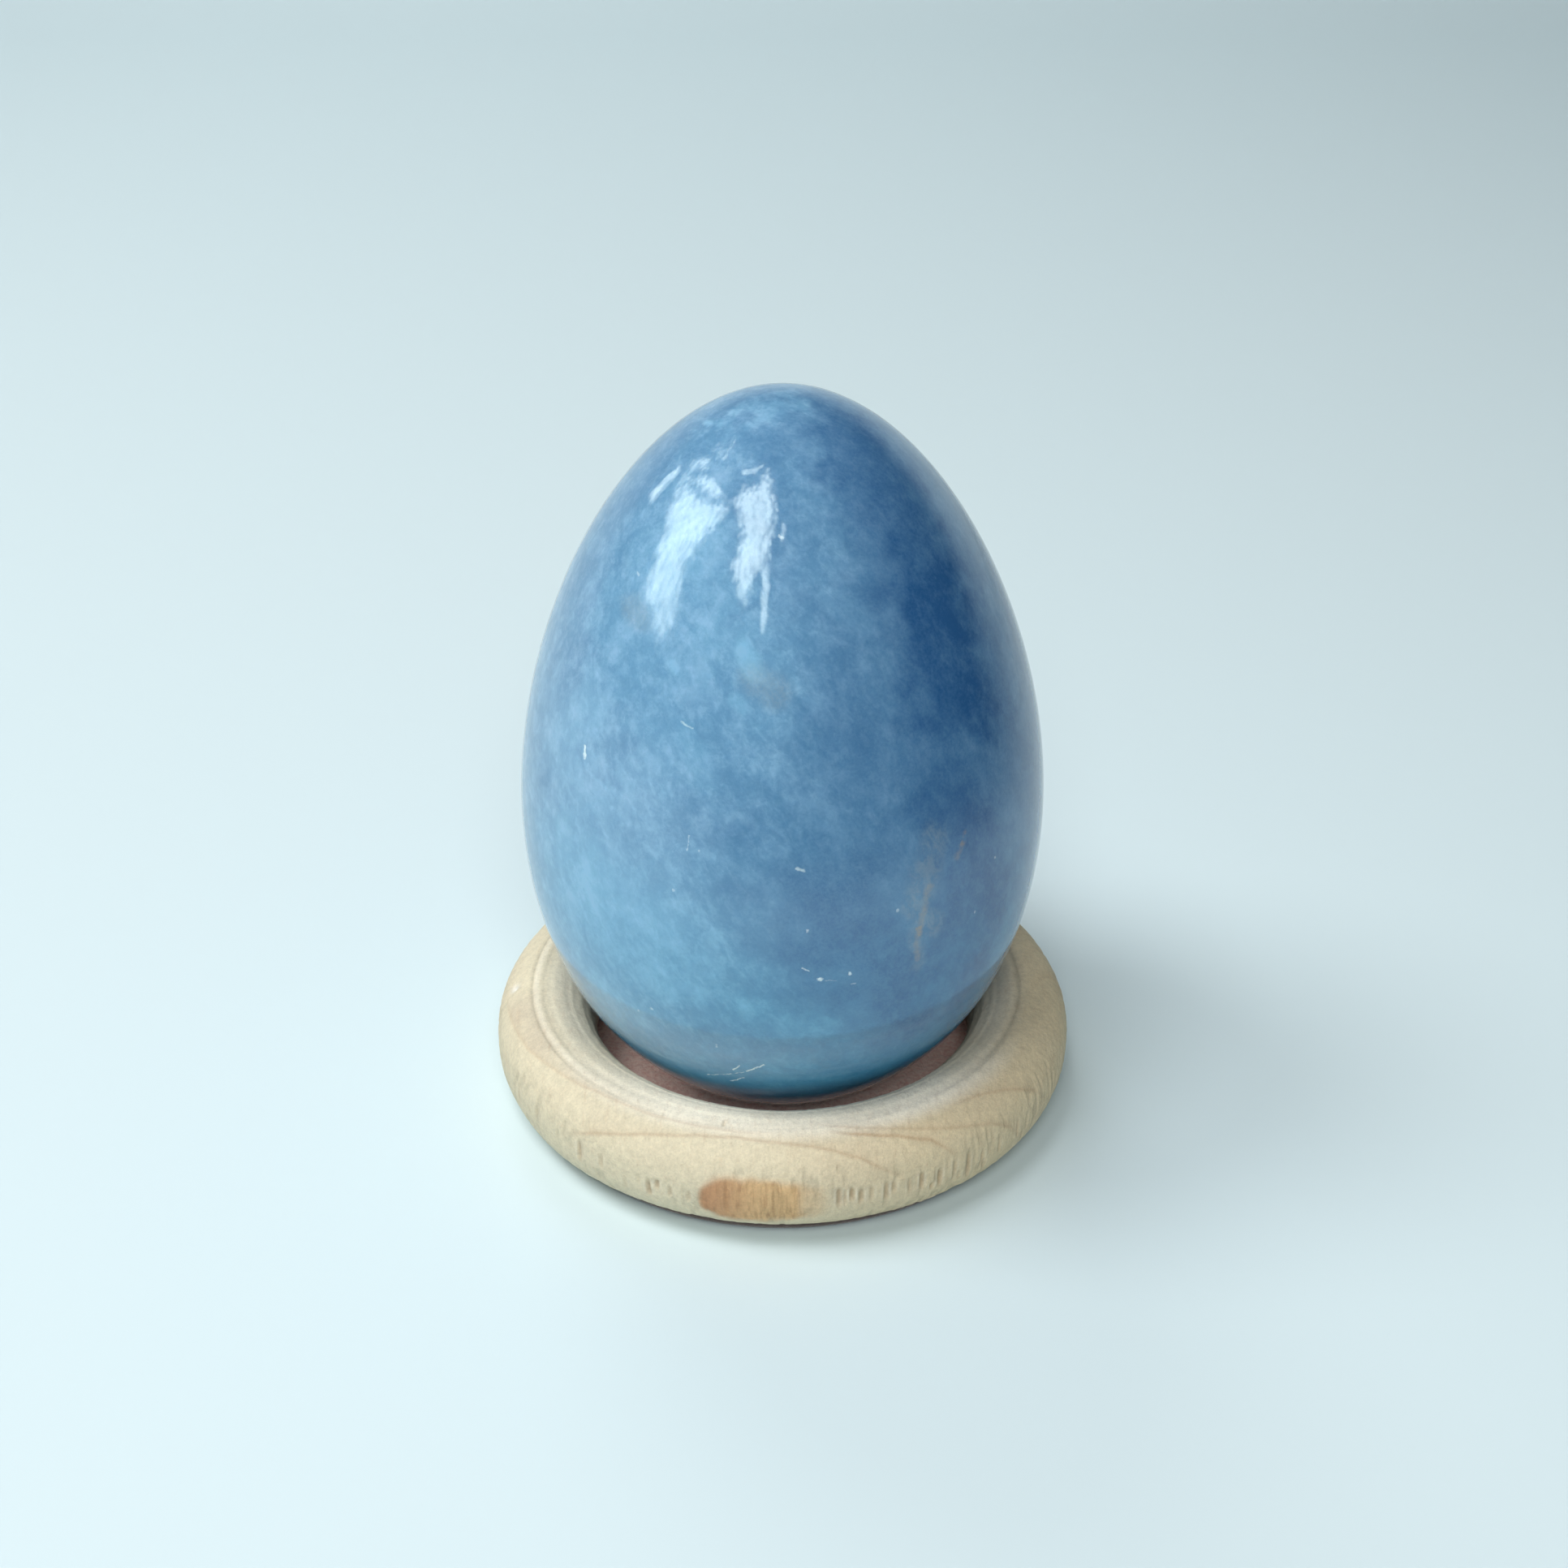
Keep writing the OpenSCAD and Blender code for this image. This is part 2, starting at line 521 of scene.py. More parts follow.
def ring_patch(ring, turn, azimuth, smooth):
    """How much of the patch shows at each point, and how far along it each point lies."""
    left, right = (ring_place(ring, *place)[0] for place in (PATCH_LEFT, PATCH_RIGHT))
    top, low = (ring_place(ring, *place)[1] for place in (PATCH_TOP, PATCH_LOW))
    ragged = lattice_noise(smooth, *PATCH_RAGGED)
    along = ring_arc(azimuth, left) / (right - left)
    up = (turn - low) / (top - low) * 2 - 1
    half = np.sqrt(np.maximum(1 - np.minimum(along / PATCH_ROUND_TO - 1, 0) ** 2, 0))
    half *= 1 - PATCH_NARROWS_BY * ramp(along, *PATCH_NARROWS)
    patch = ramp(half - np.abs(up) + ragged * 2, *PATCH_EDGE)
    patch *= ramp(along, *PATCH_START)
    wane = PATCH_WANES_BY * ramp(along + ragged, *PATCH_WANES)
    patch *= 1 - wane - (1 - PATCH_WANES_BY) * ramp(along, *PATCH_END_AT)
    return patch, np.clip(along, 0, 1)


# Painted highlight: the crest is painted lighter in front, where it catches the light, and the bore is duller
# on the other sides.
FRONT_WAY = radians(-88)
FRONT_START = (0.35, 0.85)
CREST_HIGHLIGHT_START = (radians(60), radians(84))
BORE_START = (radians(78), radians(110))
BORE_BEHIND = -2


def ring_zones(turn, azimuth):
    """How much each point of the ring gets the crest's painted highlight, and how much it belongs to the
    bore.
    """
    front = ramp(np.cos(ring_arc(azimuth, FRONT_WAY)), *FRONT_START)
    crest = front * ramp(turn, *CREST_HIGHLIGHT_START)
    inward = np.where(turn < BORE_BEHIND, turn + 2 * math.pi, turn)
    return crest, ramp(inward, *BORE_START) * (1 - front)


# Suede pad, with its top pressed in under the egg.

PAD_COLUMNS = 720
PAD_RINGS = 170
PAD_EDGE = 0.6 * MM
EDGE_ROWS = 16
SEAT_GAP = 0.1 * MM
NAP_DEPTH = 0.12 * MM
PAD_NAP = (0.4 * MM, 7)
FINE_NAP = (0.2 * MM, 8, 0.5)
NAP_FROM = 0.3 * MM
RIM_SHADE_FROM = 1.5 * PAD_EDGE
SAME_POINT = 1e-7

pad_low, pad_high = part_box("suede_pad")
PAD_R = pad_high.x
PAD_T = pad_high.z - pad_low.z
END_R = 2 * (EGG_A * (1 + EGG_TAPER)) ** 2 / EGG_H


def pad_points():
    """Rows of points from the middle of the top over the edge to the middle of the underside."""
    flat = np.linspace(0, PAD_R - PAD_EDGE, PAD_RINGS)
    bend = np.linspace(0, math.pi, EDGE_ROWS)[1:]
    radius = np.concatenate((flat, PAD_R - PAD_EDGE * (1 - np.sin(bend))))
    height = np.concatenate((0 * flat + PAD_T, PAD_T - PAD_EDGE * (1 - np.cos(bend))))
    dent = END_R + SEAT_GAP
    dent_z = egg_low.z + END_R - np.sqrt(dent**2 - np.minimum(radius, dent) ** 2)
    height = np.minimum(height, dent_z)
    radius = np.append(radius, 0)
    height = np.append(height, 0) + pad_low.z
    return turned_points(radius, height, PAD_COLUMNS), len(radius)


def pad_piece():
    points, rows = pad_points()
    nap = lattice_noise(points, *PAD_NAP) + lattice_noise(points, *FINE_NAP)
    drop = NAP_DEPTH * (1.5 + nap) / 3
    above = ramp(points[:, 2], pad_low.z + NAP_FROM, pad_high.z - PAD_EDGE)
    points[:, 2] -= drop * above
    piece = add_piece("suede_pad_nap", points, grid_faces(rows, PAD_COLUMNS, False))
    net = bmesh.new()
    net.from_mesh(piece.data)
    bmesh.ops.remove_doubles(net, verts=net.verts[:], dist=SAME_POINT)
    net.to_mesh(piece.data)
    net.free()
    piece.data.shade_smooth()
    radius = np.array([math.hypot(v.co.x, v.co.y) for v in piece.data.vertices])
    # Painted shade on the pad's edge, which lies under the ring.
    paint(piece, "rim_shade", ramp(radius, PAD_R - RIM_SHADE_FROM, PAD_R - PAD_EDGE))
    return piece


# Material helpers. An input is a value or another node's output.


def feed(tree, node, inputs):
    for name, value in dict(inputs).items():
        if isinstance(value, bpy.types.NodeSocket):
            tree.links.new(value, node.inputs[name])
        else:
            node.inputs[name].default_value = value


def add_node(tree, kind, inputs=(), **settings):
    node = tree.nodes.new("ShaderNode" + kind)
    for name, value in settings.items():
        setattr(node, name, value)
    feed(tree, node, inputs)
    return node


def maths(tree, operation, *values):
    node = add_node(tree, "Math", enumerate(values), operation=operation)
    return node.outputs[0]


def times(tree, first, second):
    return maths(tree, "MULTIPLY", first, second)


def plus(tree, first, second):
    return maths(tree, "ADD", first, second)


def vector_maths(tree, operation, *values):
    node = add_node(tree, "VectorMath", enumerate(values), operation=operation)
    return node.outputs["Value" if operation in ("LENGTH", "DOT_PRODUCT") else "Vector"]


def spread(tree, value, low, high, to_low=0.0, to_high=1.0, smooth=True):
    """Maps a value's range low to high onto another range, and clamps it."""
    kind = "SMOOTHSTEP" if smooth else "LINEAR"
    inputs = {"Value": value, "From Min": low, "From Max": high, "To Min": to_low, "To Max": to_high}
    return add_node(tree, "MapRange", inputs, interpolation_type=kind).outputs["Result"]


def noise(tree, place, scale, detail, roughness=0.5, distortion=0.0):
    inputs = {"Vector": place, "Scale": scale, "Detail": detail, "Roughness": roughness,
              "Distortion": distortion}
    return add_node(tree, "TexNoise", inputs).outputs["Fac"]


def random_offset(tree, place, scale, detail):
    """Noise from -0.5 to 0.5 in each direction."""
    inputs = {"Vector": place, "Scale": scale, "Detail": detail}
    colour = add_node(tree, "TexNoise", inputs).outputs["Color"]
    return vector_maths(tree, "SUBTRACT", colour, (0.5, 0.5, 0.5))


def shifted(tree, place, offset, size):
    shift = vector_maths(tree, "MULTIPLY", offset, (size, size, size))
    return vector_maths(tree, "ADD", place, shift)


def blend(tree, share, first, second):
    node = add_node(tree, "Mix", data_type="RGBA")
    for name, value in (("Factor", share), ("A", first), ("B", second)):
        socket = next(s for s in node.inputs if s.name == name and s.enabled)
        if isinstance(value, bpy.types.NodeSocket):
            tree.links.new(value, socket)
        else:
            socket.default_value = value if name == "Factor" else (*value, 1)
    return next(s for s in node.outputs if s.enabled)


def emptied(owner):
    """The node tree of a material or world, without its nodes."""
    owner.use_nodes = True
    owner.node_tree.nodes.clear()
    return owner.node_tree


def new_material(name):
    """A material with its tree, its shader and the place on the piece in millimetres."""
    material = bpy.data.materials.new(name)
    material.use_nodes = True
    tree = material.node_tree
    shader = tree.nodes["Principled BSDF"]
    coordinates = add_node(tree, "TexCoord").outputs["Object"]
    place = vector_maths(tree, "MULTIPLY", coordinates, (1000, 1000, 1000))
    return material, tree, shader, place


def painted(tree, name):
    """The number kept at each point of the piece under a name."""
    return add_node(tree, "Attribute", attribute_name=name).outputs["Fac"]


def slanted_noise(tree, place, degrees, stretch, *pattern):
    """Noise at a place that is turned by angles and then stretched, for drawn-out patterns."""
    turn = [radians(angle) for angle in degrees]
    turned = add_node(tree, "Mapping", {"Vector": place, "Rotation": turn}).outputs[0]
    return noise(tree, vector_maths(tree, "MULTIPLY", turned, stretch), *pattern)


def add_bump(tree, shader, height, distance, strength):
    inputs = {"Height": height, "Distance": distance, "Strength": strength}
    tree.links.new(add_node(tree, "Bump", inputs).outputs[0], shader.inputs["Normal"])


# Angelite: a deep blue ground with milky tufts, more of them on the left. The stone is also painted lighter
# on the left and darker on the right, as painted light and shade.

STONE_DEEP = (0.02, 0.1, 0.262)
STONE_MILK = (0.254, 0.5, 0.7)
STONE_WHITE = (0.7, 0.86, 0.9)
STONE_OCHRE = (0.42, 0.3, 0.15)
STONE_VEIL = (0.27, 0.35, 0.38)
STONE_LOW = (0.58, 0.98, 1.0)
DEEPEST_MILK = -0.25
MILK_GROUND = 0.33
# Milkier and lighter towards the left: partly the stone's own, partly painted light on the left and painted
# shade on the right.
MILK_AND_LIGHT_LEAN = (-0.0095, 0.0, -0.0008)
# Tufts are slightly warmer than the ground.
WARM_GROUND = 0.985
WARM_TUFT = 0.35

# Patterns as scale, detail, roughness and distortion, after a turn and a stretch where slanted.
CLOUDS = (0.085, 3.0, 0.5)
TUFTS = ((0, 35, 0), (1.0, 1.0, 0.8), 0.34, 5.0, 0.66, 0.3)
WISPS = ((0, 30, 20), (1.0, 1.0, 0.55), 1.2, 4.0, 0.66, 0.4)
STONE_GRAIN = (3.6, 3.0, 0.65)
POLISH = (0.5, 3.0, 0.6)
LAPPING = (1.4, 2.0)
LAPPING_BUMP = (0.01 * MM, 0.3)

# Marks stray from their places by noise of a scale and detail, in millimetres.
WOBBLE = (0.35, 3.0)
JITTER = (2.2, 2.0)
WIDE_STRAY = 9
NEAR_STRAY = 1.5
CLOSE_STRAY = 0.35

# Ranges of a pattern, a height or a place, and the ranges they are mapped onto.
CLOUD_MILK = (0.35, 0.65, -0.08, 0.08)
TUFT_MILK = (0.4, 0.7, -0.07, 0.23)
WISP_MILK = (0.42, 0.7, -0.055, 0.155)
GRAIN_MILK = (0.3, 0.7, -0.062, 0.062)
RICH_MILK = (0.05, 0.5, 0.45, 1.0)
RICH_HEIGHT = (8.0, 24.0, 0.55, 1.0)
LOW_HEIGHT = (44.0, 20.0)
LOW_ACROSS = (-20.0, 4.0, 0.45, 1.0)
VEIL_WISPS = (0.35, 0.6, 0.2, 1.0)
OCHRE_GRAIN = (0.35, 0.6, 0.5, 1.0)
WHITE_GRAIN = (0.35, 0.55, 0.55, 1.0)
POLISH_ROUGHNESS = (0.3, 0.7, 0.05, 0.085)
STROKE_EDGE = (1.0, 0.25)

# Marks as pixel x and y of both ends, radius in pixels and strength.
# The wide areas are partly the stone's own milky and deep patches and partly painted light and shade.
WIDE_MILK_LIGHT_AND_SHADE = (
    (800, 740, 880, 860, 200, 0.34), (730, 960, 850, 1190, 150, 0.25), (700, 1080, 740, 1220, 110, 0.2),
    (1070, 560, 1175, 860, 105, -0.31), (890, 525, 985, 492, 34, 0.32), (740, 700, 700, 800, 68, -0.1),
    (880, 575, 890, 770, 62, 0.12), (1170, 1000, 1205, 1150, 105, -0.17),
    (1020, 1085, 1080, 1210, 115, -0.09), (760, 900, 740, 940, 50, -0.18),
    (1000, 600, 1000, 690, 60, 0.14), (960, 1000, 1110, 1010, 80, 0.07), (900, 900, 1000, 880, 90, -0.11),
    (1010, 780, 1050, 900, 70, -0.05), (1218, 710, 1252, 850, 30, 0.14), (980, 1150, 1100, 1220, 120, -0.1),
    (900, 1285, 1120, 1260, 50, -0.08), (1200, 1040, 1190, 1200, 90, -0.06), (710, 960, 760, 1010, 80, -0.08),
)
SMALL_AREAS = (
    (915, 800, 928, 826, 18, 0.36), (905, 862, 916, 876, 13, 0.24), (828, 823, 832, 827, 9, 0.32),
    (870, 519, 875, 523, 8, 0.32), (878, 640, 882, 644, 10, 0.1), (845, 905, 870, 960, 26, 0.12),
    (1030, 740, 1060, 770, 26, 0.12), (722, 940, 745, 972, 4, 0.14), (745, 972, 780, 1000, 4, 0.12),
)
WHITE_MARKS = (
    (720.5, 920, 720.7, 933, 3.6, 1.0), (839, 890, 854, 897, 1.8, 0.6), (849, 1029, 847, 1048, 1.4, 0.5),
    (830, 1097, 830, 1098, 2.4, 0.5), (861, 1048, 861, 1049, 2.2, 0.4), (981, 1070, 990, 1073, 3.2, 0.6),
    (995, 1146, 995, 1148, 2.2, 0.5), (989, 1193, 996, 1196, 1.9, 0.6), (1010, 1206, 1011, 1207, 4.2, 1.0),
    (1018, 1208, 1030, 1208, 1.2, 0.25), (1047, 1199, 1047, 1200, 3.4, 0.9),
    (1049, 1212, 1054, 1212, 1.7, 0.3), (1106, 1121, 1106, 1122, 3.2, 0.4),
    (1226, 1056, 1226, 1057, 2.2, 0.4), (1201, 1123, 1201, 1124, 2.2, 0.4), (787, 1245, 787, 1246, 2.4, 0.4),
    (802, 1242, 803, 1243, 2.8, 0.5), (882, 1287, 883, 1290, 2.2, 0.4), (872, 1324, 916, 1321, 1.6, 0.9),
    (920, 1320, 941, 1312, 2.0, 1.0), (903, 1318, 911, 1313, 1.8, 0.9), (900, 1332, 916, 1328, 1.8, 0.9),
    (785, 706, 787, 709, 2.2, 0.4), (960, 660, 964, 663, 3.0, 0.5),
)
OCHRE_MARKS = (
    (1188, 1026, 1184, 1044, 6, 0.6), (1186, 1040, 1178, 1060, 7, 0.25), (1145, 1092, 1139, 1124, 8, 0.3),
    (1132, 1143, 1134, 1150, 7, 0.55), (1136, 1128, 1127, 1182, 8, 0.28), (928, 836, 956, 856, 30, 0.15),
    (776, 748, 790, 762, 26, 0.15),
)
VEIL_MARKS = (
    (1151, 1035, 1132, 1110, 32, 0.32), (1126, 1116, 1150, 1140, 26, 0.3),
    (1128, 1150, 1130, 1190, 18, 0.22),
)


def capsule_group():
    """A group that says how far inside a rounded stroke a place lies, from 0 to 1."""
    group = bpy.data.node_groups.new("stroke", "ShaderNodeTree")
    for name, kind in (("Place", "Vector"), ("Start", "Vector"), ("Step", "Vector"), ("Unit", "Vector"),
                       ("Radius", "Float"), ("Strength", "Float")):
        group.interface.new_socket(name, in_out="INPUT", socket_type="NodeSocket" + kind)
    group.interface.new_socket("Mask", in_out="OUTPUT", socket_type="NodeSocketFloat")
    given = group.nodes.new("NodeGroupInput").outputs
    offset = vector_maths(group, "SUBTRACT", given["Place"], given["Start"])
    share = vector_maths(group, "DOT_PRODUCT", offset, given["Unit"])
    share = add_node(group, "Clamp", {"Value": share}).outputs[0]
    nearest = add_node(group, "VectorMath", {0: given["Step"]}, operation="SCALE")
    group.links.new(share, nearest.inputs["Scale"])
    away = vector_maths(group, "LENGTH", vector_maths(group, "SUBTRACT", offset, nearest.outputs[0]))
    away = maths(group, "DIVIDE", away, given["Radius"])
    mask = times(group, spread(group, away, *STROKE_EDGE), given["Strength"])
    result = group.nodes.new("NodeGroupOutput")
    group.links.new(mask, result.inputs["Mask"])
    return group


def strokes(tree, group, place, egg, marks, join):
    """All of one kind of mark on the egg, joined by adding or by taking the strongest."""
    total = None
    for x0, y0, x1, y1, radius, strength in marks:
        start, end = seen_on(egg, x0, y0), seen_on(egg, x1, y1)
        step = (end - start) / MM
        inputs = {"Place": place, "Start": start / MM, "Step": step,
                  "Unit": step / step.length_squared, "Radius": radius * pixel_size(start) / MM,
                  "Strength": strength}
        mask = add_node(tree, "Group", inputs, node_tree=group)
        total = mask.outputs[0] if total is None else maths(tree, join, total, mask.outputs[0])
    return total


def angelite(egg):
    material, tree, shader, place = new_material("angelite")
    group = capsule_group()
    wobble = random_offset(tree, place, *WOBBLE)
    jitter = random_offset(tree, place, *JITTER)
    wide = shifted(tree, place, wobble, WIDE_STRAY)
    near = shifted(tree, shifted(tree, place, wobble, NEAR_STRAY), jitter, CLOSE_STRAY)
    close = shifted(tree, place, jitter, CLOSE_STRAY)

    clouds = noise(tree, place, *CLOUDS)
    tufts = slanted_noise(tree, place, *TUFTS)
    wisps = slanted_noise(tree, place, *WISPS)
    grain = noise(tree, place, *STONE_GRAIN)
    where = add_node(tree, "SeparateXYZ", {0: place}).outputs

    # The lean is partly the stone's milkiness and partly painted light and shade.
    milk_and_light = vector_maths(tree, "DOT_PRODUCT", place, MILK_AND_LIGHT_LEAN)
    milk_and_light = plus(tree, milk_and_light, MILK_GROUND)
    # Wide areas: partly the stone's patches, partly painted light and shade.
    milk_and_light = plus(tree, milk_and_light, strokes(tree, group, wide, egg, WIDE_MILK_LIGHT_AND_SHADE, "ADD"))
    milk_and_light = plus(tree, milk_and_light, spread(tree, clouds, *CLOUD_MILK))
    rich = times(tree, spread(tree, milk_and_light, *RICH_MILK), spread(tree, where["Z"], *RICH_HEIGHT))
    tuft = plus(tree, spread(tree, tufts, *TUFT_MILK), spread(tree, wisps, *WISP_MILK))
    tuft = times(tree, tuft, rich)
    milk_and_light = plus(tree, milk_and_light, tuft)
    milk_and_light = plus(tree, milk_and_light, strokes(tree, group, near, egg, SMALL_AREAS, "ADD"))
    milk_and_light = plus(tree, milk_and_light, spread(tree, grain, *GRAIN_MILK, smooth=False))
    share = spread(tree, milk_and_light, DEEPEST_MILK, 1.0, smooth=False)
    colour = blend(tree, share, STONE_DEEP, STONE_MILK)
    tinted = vector_maths(tree, "MULTIPLY", colour, STONE_LOW)
    low = times(tree, spread(tree, where["Z"], *LOW_HEIGHT), spread(tree, where["X"], *LOW_ACROSS))
    colour = blend(tree, low, colour, tinted)

    for at, marks, pattern, response, tone in (
        (near, VEIL_MARKS, wisps, VEIL_WISPS, STONE_VEIL),
        (near, OCHRE_MARKS, grain, OCHRE_GRAIN, STONE_OCHRE),
        (close, WHITE_MARKS, grain, WHITE_GRAIN, STONE_WHITE),
    ):
        mark = strokes(tree, group, at, egg, marks, "MAXIMUM")
        mark = times(tree, mark, spread(tree, pattern, *response))
        colour = blend(tree, mark, colour, tone)
    warm = maths(tree, "MULTIPLY_ADD", tuft, WARM_TUFT, WARM_GROUND)
    warm = add_node(tree, "CombineXYZ", {0: warm, 1: 1.0, 2: 1.0}).outputs[0]

    feed(tree, shader, {
        "Base Color": vector_maths(tree, "MULTIPLY", colour, warm),
        "Roughness": spread(tree, noise(tree, place, *POLISH), *POLISH_ROUGHNESS),
        "IOR": 1.6, "Specular IOR Level": 0.8, "Subsurface Weight": 0.25,
        "Subsurface Radius": (0.35, 0.65, 1.0), "Subsurface Scale": 1.6 * MM,
    })
    add_bump(tree, shader, noise(tree, place, *LAPPING), *LAPPING_BUMP)
    return material


# Bare wood.

WOOD_CREAM = (0.77, 0.685, 0.495)
WOOD_TAN = (0.665, 0.575, 0.425)
WOOD_YELLOW = (0.72, 0.605, 0.395)
# Painted highlight for the crest, the lip and the edges beside the dents.
WOOD_HIGHLIGHT = (0.975, 0.9, 0.73)
WOOD_BORE = (0.62, 0.575, 0.455)
WOOD_LINE = (0.47, 0.3, 0.17)
WOOD_CHIP = (0.9, 0.88, 0.82)
PATCH_TONE = (0.725, 0.47, 0.23)
PATCH_END = (0.54, 0.27, 0.13)
PATCH_FIBRE = (0.4, 0.2, 0.085)

# Patterns and ranges, as for the stone.
FIBRES = ((-19, 0, 0), (1.0, 0.12, 1.0), 2.2, 4.0, 0.6)
FLECKS = ((0, 0, 0), (1.0, 1.0, 0.12), 3.0, 2.0, 0.5)
BLOTCHES = (0.1, 3.0, 0.5)
SAND = (4.2, 4.0, 0.8)
FUZZ = (1.3, 3.0, 0.6)
SAND_BUMP = (0.08 * MM, 0.9)
BLOTCH_TAN = (0.4, 0.7, 0.0, 0.25)
FIBRE_LINE = (0.5, 0.8, 0.0, 0.22)
FLECK_SHARE = (0.42, 0.74, 0.0, 0.62)
PATCH_END_SHARE = (0.55, 0.05)
SAND_SHADE = (0.25, 0.75, 0.84, 1.12)
FUZZ_SHADE = (0.3, 0.7, 0.955, 1.055)
SAND_ROUGHNESS = (0.3, 0.7, 0.72, 0.88)
# The wood is yellower on the right, past a wavy border in millimetres.
YELLOW_START = (-2.0, 20.0)
YELLOW_WAVE = 8.0

# Colours of what is painted on the ring, with their strengths, under and over the grain. The crest, the lip
# and the edges beside the dents get a painted highlight, and the dents a painted shade.
UNDER_GRAIN = (
    ("layer", 1.0, WOOD_TAN), ("crest", 1.0, WOOD_HIGHLIGHT), ("bore", 1.0, WOOD_BORE), ("lip_highlight", 0.5, WOOD_HIGHLIGHT),
)
OVER_GRAIN = (("growth", 0.85, WOOD_LINE), ("dent_highlight", 0.35, WOOD_HIGHLIGHT), ("dented", 0.45, WOOD_LINE))
PATCH_STRENGTH = 0.9
CHIP_STRENGTH = 0.8
# Painted shade in the hollows: how much the turning grooves, the creases, the dents and the torn grain darken
# the wood.
SHADE_IN_HOLLOWS = (("turning", 0.14), ("crease", 0.24), ("dented", 0.12), ("torn", 0.11))


def bare_wood():
    material, tree, shader, place = new_material("bare_wood")
    where = add_node(tree, "SeparateXYZ", {0: place}).outputs
    fibres = slanted_noise(tree, place, *FIBRES)
    flecks = slanted_noise(tree, place, *FLECKS)
    blotch = noise(tree, place, *BLOTCHES)
    sand = noise(tree, place, *SAND)
    fuzz = noise(tree, place, *FUZZ)

    right = plus(tree, where["X"], times(tree, blotch, YELLOW_WAVE))
    colour = blend(tree, spread(tree, right, *YELLOW_START), WOOD_CREAM, WOOD_YELLOW)
    for name, strength, tone in UNDER_GRAIN:
        colour = blend(tree, times(tree, painted(tree, name), strength), colour, tone)
    colour = blend(tree, spread(tree, blotch, *BLOTCH_TAN), colour, WOOD_TAN)
    colour = blend(tree, spread(tree, fibres, *FIBRE_LINE), colour, WOOD_LINE)
    # Over the grain: growth lines, a painted highlight beside the dents and painted shade in them.
    for name, strength, tone in OVER_GRAIN:
        colour = blend(tree, times(tree, painted(tree, name), strength), colour, tone)

    end = spread(tree, painted(tree, "patch_along"), *PATCH_END_SHARE)
    tone = blend(tree, end, PATCH_TONE, PATCH_END)
    tone = blend(tree, spread(tree, flecks, *FLECK_SHARE), tone, PATCH_FIBRE)
    colour = blend(tree, times(tree, painted(tree, "patch"), PATCH_STRENGTH), colour, tone)
    colour = blend(tree, times(tree, painted(tree, "chip"), CHIP_STRENGTH), colour, WOOD_CHIP)

    shade = spread(tree, sand, *SAND_SHADE, smooth=False)
    shade = times(tree, shade, spread(tree, fuzz, *FUZZ_SHADE))
    # Painted shade in the turning grooves, creases, dents and torn grain.
    for name, strength in SHADE_IN_HOLLOWS:
        shade = maths(tree, "SUBTRACT", shade, times(tree, painted(tree, name), strength))
    scaled = add_node(tree, "VectorMath", {0: colour, "Scale": shade}, operation="SCALE")
    roughness = spread(tree, sand, *SAND_ROUGHNESS)
    feed(tree, shader, {"Base Color": scaled.outputs[0], "Roughness": roughness, "IOR": 1.4})
    add_bump(tree, shader, plus(tree, sand, fibres), *SAND_BUMP)
    return material


# Pink suede.

SUEDE_LIGHT = (0.98, 0.7, 0.6)
SUEDE_DEEP = (0.82, 0.48, 0.4)
# Painted shade for the pad's edge under the ring.
SUEDE_RIM_SHADE = (0.15, 0.11, 0.1)
NAP = (2.4, 4.0, 0.7)
BRUSHED = (0.25, 2.0, 0.5)
BRUSHED_SHARE = 0.3
LIGHT_NAP = (0.48, 0.76)
NAP_BUMP = (0.2 * MM, 0.8)


def pink_suede():
    material, tree, shader, place = new_material("pink_suede")
    nap = noise(tree, place, *NAP)
    brushed = noise(tree, place, *BRUSHED)
    share = plus(tree, nap, times(tree, brushed, BRUSHED_SHARE))
    colour = blend(tree, spread(tree, share, *LIGHT_NAP), SUEDE_DEEP, SUEDE_LIGHT)
    # The edge under the ring is painted dark, as shade.
    colour = blend(tree, painted(tree, "rim_shade"), colour, SUEDE_RIM_SHADE)
    feed(tree, shader, {"Base Color": colour, "Roughness": 0.95, "Sheen Weight": 0.8,
                        "Sheen Roughness": 0.4})
    add_bump(tree, shader, nap, *NAP_BUMP)
    return material


# Window panes on the left, whose shapes are those of their images on the egg. They only mirror, and
# the lamps give the light.

